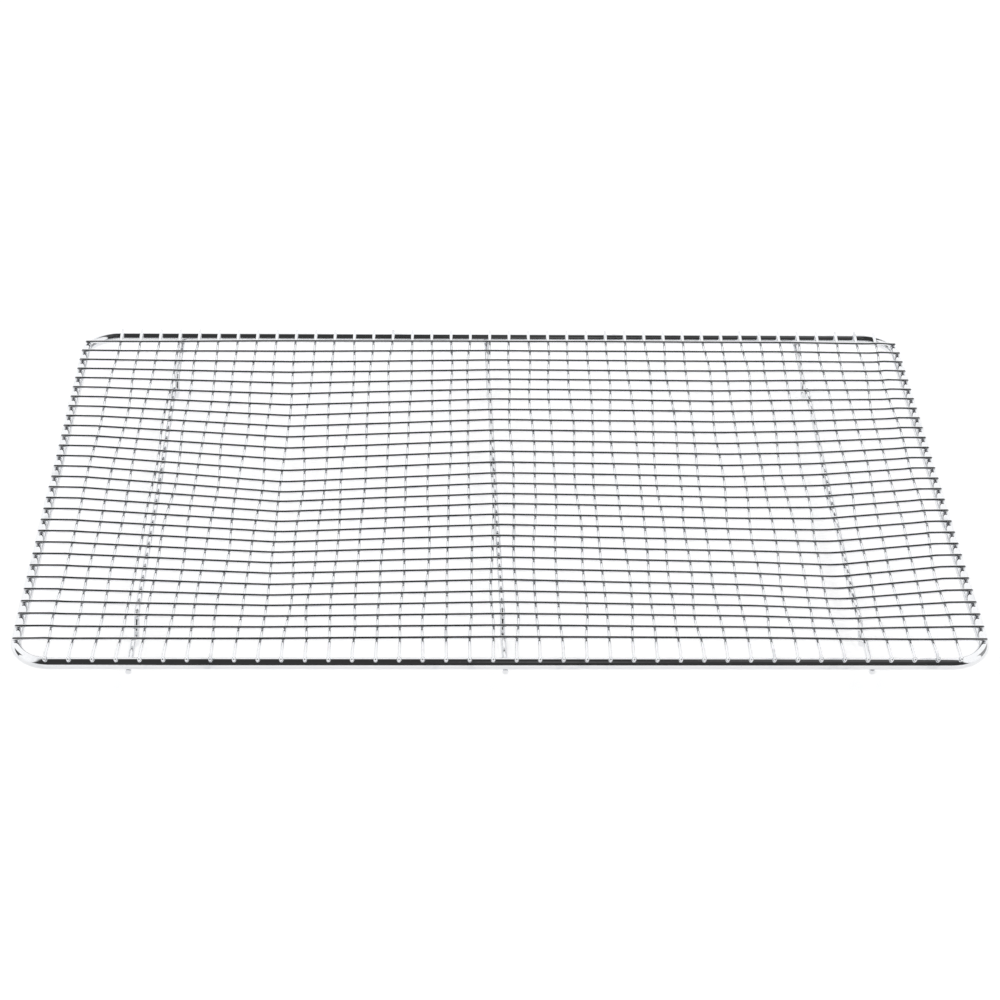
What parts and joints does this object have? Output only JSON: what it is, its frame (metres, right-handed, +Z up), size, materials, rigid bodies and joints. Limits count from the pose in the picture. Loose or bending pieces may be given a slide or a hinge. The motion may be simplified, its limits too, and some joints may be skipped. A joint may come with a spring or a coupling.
{
  "type": "cooling rack",
  "caption": "Footed wire cooling rack for a full-size sheet pan: a chromed wire mesh welded on a rounded rectangular rod frame, on bent wire feet",
  "frame": {"origin": "on the table under the middle of the frame; the feet stand at Z = 0", "axes": "+X along the length, left to right; +Y across the width, front to back; +Z up"},
  "size_m": [0.6222, 0.4296, 0.025],
  "materials": {
    "frame_rod": "bright chrome plate on a cold-drawn steel rod",
    "long_wire": "bright chrome plate on thin cold-drawn steel wire",
    "cross_wire": "bright chrome plate on thin cold-drawn steel wire",
    "support_wire": "bright chrome plate on bent cold-drawn steel wire"
  },
  "bodies": {
    "root": {"cross_wire_pair_01": "cross_wire", "cross_wire_pair_02": "cross_wire", "cross_wire_pair_03": "cross_wire", "cross_wire_pair_04": "cross_wire", "cross_wire_pair_05": "cross_wire", "cross_wire_pair_06": "cross_wire", "cross_wire_pair_07": "cross_wire", "cross_wire_pair_08": "cross_wire", "cross_wire_pair_09": "cross_wire", "cross_wire_pair_10": "cross_wire", "cross_wire_pair_11": "cross_wire", "cross_wire_pair_12": "cross_wire", "cross_wire_pair_13": "cross_wire", "cross_wire_pair_14": "cross_wire", "cross_wire_pair_15": "cross_wire", "cross_wire_pair_16": "cross_wire", "cross_wire_pair_17": "cross_wire", "cross_wire_pair_18": "cross_wire", "cross_wire_pair_19": "cross_wire", "cross_wire_pair_20": "cross_wire", "frame_rod": "frame_rod", "long_wire_01": "long_wire", "long_wire_02": "long_wire", "long_wire_03": "long_wire", "long_wire_04": "long_wire", "long_wire_05": "long_wire", "long_wire_06": "long_wire", "long_wire_07": "long_wire", "long_wire_08": "long_wire", "long_wire_09": "long_wire", "long_wire_10": "long_wire", "long_wire_11": "long_wire", "long_wire_12": "long_wire", "long_wire_13": "long_wire", "long_wire_14": "long_wire", "long_wire_15": "long_wire", "long_wire_16": "long_wire", "long_wire_17": "long_wire", "long_wire_18": "long_wire", "long_wire_19": "long_wire", "long_wire_20": "long_wire", "long_wire_21": "long_wire", "long_wire_22": "long_wire", "long_wire_23": "long_wire", "long_wire_24": "long_wire", "long_wire_25": "long_wire", "long_wire_26": "long_wire", "long_wire_27": "long_wire", "long_wire_28": "long_wire", "long_wire_29": "long_wire", "support_wire_centre": "support_wire", "support_wire_left": "support_wire", "support_wire_right": "support_wire"}
  },
  "joints": []
}
